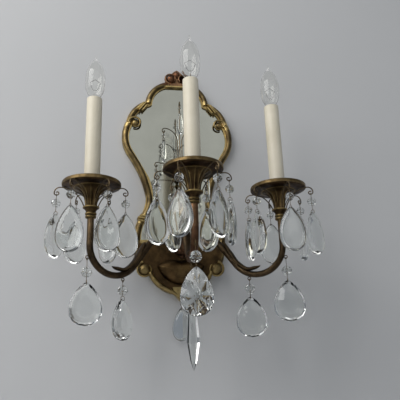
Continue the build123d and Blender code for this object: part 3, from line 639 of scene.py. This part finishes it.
# direction from the hub, distance to the cup, fall of the slope, bend of the bowl, pan's rim
ARMS = {
    "left": (180 - SIDE_ANGLE, SIDE_REACH, SIDE_DESCENT, SIDE_BOWL, SIDE_PAN[2]),
    "centre": (-90.0, HUB_Y - CENTRE_PAN[1], CENTRE_DESCENT, CENTRE_BOWL, CENTRE_PAN[2]),
    "right": (SIDE_ANGLE, SIDE_REACH, SIDE_DESCENT, SIDE_BOWL, SIDE_PAN[2]),
}


def arm_section(t):
    """Half sizes of an arm, thick at the hub and slim at the cup."""
    near_hub = max(0.0, 1 - 2.4 * t)
    return ARM_HALF_WIDTH - ARM_NARROWING * t, ARM_HALF_DEPTH + HUB_THICKENING * near_hub


def arm(side):
    """One S-shaped arm with its leaf and eyes."""
    angle, reach, descent, bowl, rim = ARMS[side]
    turn, fall = radians(ENTRY_TURN), radians(descent)
    bends = ENTRY_BEND * sin(turn) + CREST_BEND * (sin(turn) + sin(fall))
    run = (reach - ARM_START[0] - bends - bowl * (1 + sin(fall))) / cos(fall)
    into_crest = [(ENTRY_BEND, ENTRY_TURN), (CREST_BEND, -ENTRY_TURN - descent)]
    route = walk(ARM_START, 0, [*into_crest, (run,), (bowl, 90 + descent)], 2.0)
    bowl_z = route[-1][1]
    route.append((reach, rim - CUP_FOOT_DROP))
    route = [p for p in route if p[0] > HUB_RADIUS - 1]
    points = upright_points(route, 0, HUB_Y, angle)
    finish = russet if side == "centre" else dark_brass
    made = tube(f"arm_{side}_cast", points, side_of(angle), arm_section, finish, sides=20)
    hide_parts(f"arm_{side}")
    leaf(side, angle, reach, descent, bowl, bowl_z)
    out = bowl + EYE_OUT
    eye_turns = CENTRE_EYE_TURNS if side == "centre" else SIDE_EYE_TURNS
    for place, eye_turn in zip(("outer", "inner"), map(radians, eye_turns)):
        eye = (reach - bowl + out * sin(eye_turn), bowl_z - out * cos(eye_turn))
        spot = upright_points([eye], 0, HUB_Y, angle)[0]
        ring(
            f"eye_{side}_{place}", spot, side_of(angle), EYE_RADIUS, EYE_WIRE, dark_brass,
            "sconce", 20, 8,
        )


def leaf(side, angle, reach, descent, bowl, bowl_z):
    """The leaf that sheathes the slope and ends in a free tongue over the bowl."""
    fall = radians(descent)
    centre_r = reach - bowl
    inner = bowl - LEAF_INSET

    def in_bowl(inset, share):
        """A point inside the bowl's bend, at a share of the way from its bottom to the slope."""
        out = inner - inset
        return centre_r - out * sin(fall * share), bowl_z - out * cos(fall * share)

    foot = in_bowl(0, 1)

    def up_slope(along, lift):
        """A point over the slope, so far along from its foot."""
        return (
            foot[0] - along * cos(fall) + lift * sin(fall),
            foot[1] + along * sin(fall) + lift * cos(fall),
        )

    def section(t):
        """Half sizes of the leaf, full on the slope and thin at the tongue."""
        swell = 0.5 + 2.2 * t if t < 0.25 else 1.05 - 0.45 * (t - 0.25)
        taper = 1.0 if t < 0.8 else max(0.18, 1 - 4.0 * (t - 0.8))
        half_width = LEAF_HALF_WIDTH * min(swell, 1.05) * taper
        return half_width, LEAF_HALF_DEPTH * min(swell, 1.0) * max(taper, 0.35)

    spine = [
        up_slope(44, 4), up_slope(24, 1.5), up_slope(4, 0),
        in_bowl(2, 0.55), in_bowl(7, 0.12), (centre_r + 4.5, bowl_z - (inner - 9.5)),
    ]
    points = upright_points(curve_through(spine, 7), 0, HUB_Y, angle)
    tube(f"leaf_{side}", points, side_of(angle), section, dark_brass, sides=16)


# ---------------------------------------------------------------- pendants
# crystals that have turned on their wire, and the way they face
TURNED = {"pendant_left_outer": (0.20, -1.0)}

# the flat window of a smooth crystal as shares of its outline, where its middle lies as a share
# of the length, and the steps from there to the rim
WINDOW_WIDTH, WINDOW_LENGTH, WINDOW_MIDDLE = 0.56, 0.70, 0.56
RIM_STEPS = (0.0, 0.25, 0.5, 0.72, 0.88, 0.97, 1.0)

# a cut crystal: its middle, the step between its star's corners, and how far its table and
# its girdle reach when it is starred and when it is not
CUT_MIDDLE = 0.60
STAR_STEP = 0.12
STAR_CUT, TABLE_CUT = (0.14, 0.70), (0.50, 0.82)
GIRDLE_DEPTH, EDGE_DEPTH = 0.64, 0.10

# the cut spear and bead, row by row: how far out and how high, as shares of the size
SPEAR_FILL = 0.54
SPEAR_LEVELS = [
    (0.10, 0.0), (0.52, -0.03), (0.60, -0.10), (0.72, -0.34),
    (0.97, -0.60), (1.0, -0.66), (0.52, -0.88), (0.03, -1.0),
]
BEAD_LEVELS = [(0.30, -0.94), (0.76, -0.66), (1.0, -0.16), (1.0, 0.16), (0.76, 0.66), (0.30, 0.94)]


def pear(width, length, count):
    """Right half of a pear outline from its top to its bottom."""
    made = []
    for step in range(count + 1):
        turn = pi * step / count
        swell = sin(turn) ** 1.3 if turn < pi / 2 else sin(turn)
        made.append((0.5 * width * swell * (1 - 0.3 * cos(turn)), -0.5 * length * (1 - cos(turn))))
    return made


def closed_outline(half):
    """Both halves of an outline as one loop."""
    return half + [(-r, z) for r, z in reversed(half[1:-1])]


def broadside(node):
    """Direction across a crystal's broad face, read from its largest upright CAD face."""
    largest, best = 0.0, Vector((0, 1, 0))
    for polygon in frame["nodes"][node].data.polygons:
        if polygon.area > largest and abs(polygon.normal.z) < 0.02:
            largest, best = polygon.area, polygon.normal.copy()
    return best.normalized()


def sideways(facing):
    """The horizontal direction along a crystal's broad face."""
    return UP.cross(facing).normalized()


def extent(corners, direction):
    """How far corners spread along a horizontal direction, in millimetres."""
    spread = [corner.x * direction.x + corner.y * direction.y for corner in corners]
    return (max(spread) - min(spread)) / MM


def stone(name, top, facing, rows, outline_of, body, sharp):
    """A crystal made of loops of outline, from its back face to its front face."""
    wide = sideways(facing)
    vertices = []
    around = 0
    for share, depth in rows:
        loop = outline_of(share)
        around = len(loop)
        for r, z in loop:
            vertices.append(Vector(top) + wide * r + Vector((0, 0, z)) + facing * depth)
    return piece(name, vertices, bridge(len(rows), around), crystal_glass, body, sharp)


def smooth_drop(name, top, facing, width, length, thickness, body):
    """A pear crystal with a rounded rim and a flat almond-shaped window on each side."""
    half = pear(width, length, 22)
    middle = -WINDOW_MIDDLE * length
    almond = [(WINDOW_WIDTH * r, middle + WINDOW_LENGTH * (z - middle)) for r, z in half]

    def outline_of(share):
        """The outline at a share of the way from the window to the rim."""
        mixed = []
        for (r, z), (rim_r, rim_z) in zip(almond, half):
            mixed.append((r + (rim_r - r) * share, z + (rim_z - z) * share))
        return closed_outline(mixed)

    rows = []
    for share in RIM_STEPS:
        rise = (1 - 0.30 * share) * sqrt(max(0.0, 1 - (0.96 * share) ** 3))
        rows.append((share, 0.5 * thickness * rise))
    back = [(share, -depth) for share, depth in rows]
    return stone(name, top, facing, back + rows[::-1], outline_of, body, 12)


def cut_drop(name, top, facing, width, length, thickness, body, starred):
    """A pear crystal cut flat: starred all over, or with a wide table and a cut edge."""
    half = pear(width, length, 9)
    middle = -CUT_MIDDLE * length
    step_in = STAR_STEP if starred else 0.0

    def outline_of(share):
        """The outline at a share of the full size, its corners moved in and out by turns."""
        loop = []
        for index, (r, z) in enumerate(closed_outline(half)):
            reach = share + (step_in if index % 2 else -step_in) if 0.5 < share < 0.9 else share
            loop.append((reach * r, middle + reach * (z - middle)))
        return loop

    table, girdle = STAR_CUT if starred else TABLE_CUT
    deep = 0.5 * thickness
    rows = [(table, -deep), (girdle, -GIRDLE_DEPTH * deep), (1.0, -EDGE_DEPTH * deep)]
    rows += [(share, -depth) for share, depth in reversed(rows)]
    return stone(name, top, facing, rows, outline_of, body, 0)


def spear(name, top, facing, width, length, thickness, body):
    """A long cut icicle."""
    wide = sideways(facing)
    vertices = []
    for share, level in SPEAR_LEVELS:
        for step in range(SPEAR_SIDES):
            turn = 2 * pi * (step + 0.5) / SPEAR_SIDES
            out = SPEAR_FILL * width * share * cos(turn)
            deep = SPEAR_FILL * thickness * share * sin(turn)
            down = Vector((0, 0, level * length))
            vertices.append(Vector(top) + wide * out + facing * deep + down)
    return piece(name, vertices, bridge(len(SPEAR_LEVELS), SPEAR_SIDES), crystal_glass, body, 0)


def bead(name, x, y, z, radius, body):
    """A cut bead with eight sides, every second row turned by half a side."""
    vertices = []
    for row, (share, level) in enumerate(BEAD_LEVELS):
        out = share * radius
        for step in range(BEAD_SIDES):
            turn = 2 * pi * (step + 0.5 * (row % 2)) / BEAD_SIDES
            vertices.append((x + out * cos(turn), y + out * sin(turn), z + level * radius))
    piece(name, vertices, bridge(len(BEAD_LEVELS), BEAD_SIDES), crystal_glass, body, 0)


def kind_of(node):
    """Which kind of pendant a node is."""
    if "spray" in node:
        return "spray"
    last = node.split("_")[-1]
    return "pan" if last.isdigit() else last


def pendant(node, joint):
    """Bead, crystal and bent wires of one pendant, hung on its hinge."""
    kind = kind_of(node)
    bead_drop, crystal_drop, bead_radius = KINDS[kind]
    body = joint["child"]
    x, y, z = (c / MM for c in joint["pos_m"])
    top = (x, y, z - crystal_drop)
    low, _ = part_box(node)
    length = top[2] - low.z / MM
    facing = broadside(node)
    crystal_top = (top[2] - 1) * MM
    corners = [v.co for v in frame["nodes"][node].data.vertices if v.co.z < crystal_top]
    width, thickness = extent(corners, sideways(facing)), extent(corners, facing)
    if kind == "front":
        width *= FRONT_WIDTH_SHARE
    if node in TURNED:
        facing = Vector((*TURNED[node], 0.0)).normalized()
    shape = (f"{node}_stone", top, facing, width, length, thickness, body)
    if kind == "spear":
        made = spear(*shape)
    elif kind in ("pan", "tip", "spray"):
        made = smooth_drop(*shape)
    else:
        made = cut_drop(*shape, kind == "front")
    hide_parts(node)
    if bead_radius > 0:
        bead(f"{node}_bead", x, y, z - bead_drop, bead_radius, body)
    along = Vector(joint["axis"])
    ring(f"{node}_ring", (x, y, z), along, RING_RADIUS, PIN_WIRE, wire_brass, body)
    wide = sideways(facing)
    loop_radius = LOOP_RADIUS + 0.1 * thickness
    loop_centre = (x, y, top[2] - 0.3)
    ring(f"{node}_loop", loop_centre, wide, loop_radius, PIN_WIRE, wire_brass, body, 16)
    levels = (z - PIN_TOP_DROP, 0.5 * (z + top[2]), top[2] + loop_radius - 0.1)
    pin = [Vector((x, y, level)) for level in levels]
    tube(f"{node}_pin", pin, wide, (PIN_WIRE, PIN_WIRE), wire_brass, body, sides=7)


# ---------------------------------------------------------------- spray
# (radius, height) of the stem with its cup; then the direction of each wire, where it leaves
# the stem and where its crest is, both as (distance, height)
SPRAY_STEM = [
    (2.4, 24), (2.2, 60), (2.0, 100), (2.1, 128), (3.6, 130), (5.0, 132.5), (3.6, 135),
    (2.3, 137), (3.4, 139.5), (6.2, 142.2), (8.9, 145.2), (8.6, 146), (5.5, 144.6), (0.5, 144.0),
]
SPRAY_WIRES = [
    (-90, (2.0, 144.0), (8.0, 276.0)),
    (195, (4.0, 144.0), (27.5, 222.5)),
    (-15, (4.0, 144.0), (27.5, 222.5)),
    (205, (6.0, 144.0), (46.0, 150.5)),
    (-25, (6.0, 144.0), (46.0, 150.5)),
]


def spray():
    """The stem, its cup and its five hooked wires in front of the mirror."""
    made = lathe("spray_stem", 0, HUB_Y, SPRAY_STEM, brass, steps=28)
    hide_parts("spray_frame")
    for number, (angle, start, crest) in enumerate(SPRAY_WIRES, start=1):
        run, rise = crest[0] - start[0], crest[1] - start[1]
        if run < rise:
            heading = 90
            moves = [(rise - run,), (run, -90)]
        else:
            heading = degrees(2 * atan2(rise, run))
            moves = [((run * run + rise * rise) / (2 * rise), -heading)]
        route = walk(start, heading, moves + SPRAY_CURL, 1.2)
        points = upright_points(route, 0, HUB_Y, angle)
        size = (SPRAY_WIRE, SPRAY_WIRE)
        tube(f"spray_wire_{number}", points, side_of(angle), size, wire_brass, sides=8)


# ---------------------------------------------------------------- frame
# the scrolls on the right: name, eye (x, z), level, radii at both ends, start, turn, thickness
SCROLLS = [
    ("crest", 12, 341, -15.0, (11.0, 8.2), -70, 290, 2.4),
    ("shoulder", 80, 246, -12.0, (12.5, 7.6), 5, 290, 2.6),
    ("volute", 62, -31, -15.0, (13.0, 10.4), 75, -300, 2.6),
]
SCROLL_STEPS = 30
SHIELD_EDGE = [(53, -36), (48, -46), (40, -55.5), (29, -63.5), (16, -70), (8, -75)]


def shade_frame(made):
    """Paint shade on the sunk face of the shield, redden the crest and tint its raised face copper.
    """
    for finish in (painted_recess_shade, copper, russet):
        made.data.materials.append(finish)
    for polygon in made.data.polygons:
        middle = polygon.center / MM
        on_shield = abs(middle.y + SHIELD_LEVEL) < 0.4 and middle.z < SHIELD_TOP
        # painted shade: the shield's sunk front faces take the dark recess finish
        if on_shield and polygon.normal.y < -0.9:
            polygon.material_index = 1
        elif middle.y < -CREST_FACE_LEVEL and middle.z > CREST_FACE_FROM:
            polygon.material_index = 2
        elif middle.z > CREST_FROM:
            polygon.material_index = 3


def curl(name, x, z, level, reach, start, turn, thick):
    """A scroll that winds inward round an eye, in the plane of the frame."""
    route = []
    for step in range(SCROLL_STEPS + 1):
        share = step / SCROLL_STEPS
        angle = radians(start + turn * share)
        out = reach[0] + (reach[1] - reach[0]) * share
        route.append((out * cos(angle), z + out * sin(angle)))
    points = upright_points(route, x, level, 0)
    finish = russet if "crest" in name else brass

    def section(t):
        """Half sizes of the scroll, slimmer towards its wound end."""
        return thick * (1 - 0.35 * t), thick * (1 - 0.45 * t)

    tube(name, points, (0, 1, 0), section, finish)


def roll_section(t):
    """Half sizes of the roll along the shield's edge, fullest in its middle."""
    swell = sin(pi * min(1.0, 0.12 + 0.9 * t))
    return tuple(least + more * swell for least, more in (ROLL_HALF_WIDTH, ROLL_HALF_DEPTH))


def frame_scrolls():
    """The wound ends of the frame's scrolls, and the roll that edges the shield."""
    for side in (-1, 1):
        for name, x, z, level, reach, start, turn, thick in SCROLLS:
            begin, sweep = (start, turn) if side > 0 else (180 - start, -turn)
            curl(f"{name}_scroll_{side}", side * x, z, level, reach, begin, sweep, thick)
        points = [Vector((side * x, -ROLL_LEVEL, z)) for x, z in curve_through(SHIELD_EDGE, 6)]
        tube(f"shield_roll_{side}", points, (0, 1, 0), roll_section, brass, sides=14)


# ---------------------------------------------------------------- assembly
for side in PANS:
    cup(side)
    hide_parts(f"cup_{side}")
    pan(side)
    pan_hooks(side)
    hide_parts(f"hooks_{side}")
    candle(side)
    lamp(side)
    arm(side)
spray()
for joint in frame["joints"]:
    if joint["type"] == "hinge":
        pendant(joint["child"].removesuffix("_body"), joint)

shade_frame(copy_of("wall_frame", brass, 30, 0.5))
frame_scrolls()
copy_of("shield_boss", boss_brass, 50, 0.6)
copy_of("arm_hub", russet, 35, 0.3)
copy_of("mirror", silvering, 30, 0.4)
copy_of("mirror_backing", board, 30)
copy_of("mirror_clips", steel, 30)
copy_of("mounting_bar", steel, 30, 0.2)
copy_of("lock_nuts", steel, 30, 0.2)
copy_of("threaded_tubes", steel, 30)
copy_of("sockets", phenolic, 30)
copy_of("lead_wires", cover, 60)


# ---------------------------------------------------------------- stage, light and camera
STAGE_SIZE = 8.0
FLOOR_PLACE = (0, -3.95, -0.42)
WALL_PLACE = (0, 0.0012, 0)
NEAR_WALL = 0.008
SURROUND, SURROUND_STRENGTH = (0.80, 0.87, 0.97, 1.0), 0.24

# name, place, aim, size, power in watts and colour of each light
LIGHTS = [
    ("window", (-1.4, -1.1, 1.2), (0, -0.08, 0.08), 1.7, 33.0, (1.0, 0.985, 0.96)),
    ("room", (0.3, -2.3, 1.2), (0, -0.08, 0.1), 1.9, 7.5, (0.97, 0.98, 0.95)),
]

# the camera's place in millimetres, and its focal length in widths of the picture
CAMERA_PLACE = (-104, -869, -176)
CAMERA_TURN, CAMERA_TILT, CAMERA_ROLL = 9.4, 17.37, -1.95
SENSOR = 36.0
FOCAL_WIDTHS = 1.25


def stage_plane(name, place, tilt, material):
    """A large square sheet with a finish, tilted about its X axis."""
    turned = (radians(tilt), 0, 0)
    bpy.ops.mesh.primitive_plane_add(size=STAGE_SIZE, location=place, rotation=turned)
    made = bpy.context.object
    made.name = name
    made.data.materials.append(material)
    return made


def clear_up_close(pale):
    """The wall's finish: the stage's, but clear where light has to reach the sconce's back.

    It is clear from behind, and to rays that start closer to it than NEAR_WALL.
    """
    made = pale.copy()
    made.name = "pale_wall"
    tree = made.node_tree
    behind = tree.nodes.new("ShaderNodeNewGeometry").outputs["Backfacing"]
    started = tree.nodes.new("ShaderNodeLightPath").outputs["Ray Length"]
    near = tree.nodes.new("ShaderNodeMath")
    near.operation = "LESS_THAN"
    near.inputs[1].default_value = NEAR_WALL
    tree.links.new(started, near.inputs[0])
    clear_share = tree.nodes.new("ShaderNodeMath")
    clear_share.operation = "MAXIMUM"
    tree.links.new(behind, clear_share.inputs[0])
    tree.links.new(near.outputs[0], clear_share.inputs[1])
    clear = tree.nodes.new("ShaderNodeBsdfTransparent")
    either = tree.nodes.new("ShaderNodeMixShader")
    tree.links.new(clear_share.outputs[0], either.inputs["Fac"])
    tree.links.new(tree.nodes["Principled BSDF"].outputs["BSDF"], either.inputs[1])
    tree.links.new(clear.outputs["BSDF"], either.inputs[2])
    output = tree.nodes["Material Output"]
    tree.links.new(either.outputs["Shader"], output.inputs["Surface"])
    return made


def floor_and_wall():
    """A plain pale floor below and a plain pale wall behind."""
    pale = plain("pale_stage", (0.575, 0.580, 0.588), (0.590, 0.594, 0.602), 0.9, 0.0, 2.0)
    ground = stage_plane("floor", FLOOR_PLACE, 0, pale)
    wall = stage_plane("wall", WALL_PLACE, 90, clear_up_close(pale))


def world():
    """A soft grey-white surround."""
    made = bpy.data.worlds.new("surround")
    bpy.context.scene.world = made
    made.use_nodes = True
    background = made.node_tree.nodes["Background"]
    socket(background, "Color", SURROUND)
    socket(background, "Strength", SURROUND_STRENGTH)


def area_light(name, place, aim, size, power, colour):
    """A soft square lamp that faces its aim."""
    data = bpy.data.lights.new(name, "AREA")
    data.size = size
    data.energy = power
    data.color = colour
    made = bpy.data.objects.new(name, data)
    made.location = place
    made.rotation_euler = (Vector(aim) - Vector(place)).to_track_quat("-Z", "Y").to_euler()
    bpy.context.scene.collection.objects.link(made)


def camera():
    """The photograph's viewpoint: below the sconce and a little to its left."""
    turn, tilt, roll = radians(CAMERA_TURN), radians(CAMERA_TILT), radians(CAMERA_ROLL)
    ahead = Vector((sin(turn) * cos(tilt), cos(turn) * cos(tilt), sin(tilt)))
    level = Vector((cos(turn), -sin(turn), 0))
    above = level.cross(ahead)
    right = level * cos(roll) + above * sin(roll)
    up = above * cos(roll) - level * sin(roll)
    data = bpy.data.cameras.new("photo_camera")
    data.sensor_width = SENSOR
    data.lens = SENSOR * FOCAL_WIDTHS
    data.clip_start = 0.01
    made = bpy.data.objects.new("photo_camera", data)
    turned = Matrix((right, up, -ahead)).transposed().to_4x4()
    made.matrix_world = Matrix.Translation(Vector(CAMERA_PLACE) * MM) @ turned
    bpy.context.scene.collection.objects.link(made)
    bpy.context.scene.camera = made


floor_and_wall()
world()
for light in LIGHTS:
    area_light(*light)
camera()
bpy.context.scene.view_settings.view_transform = "Standard"
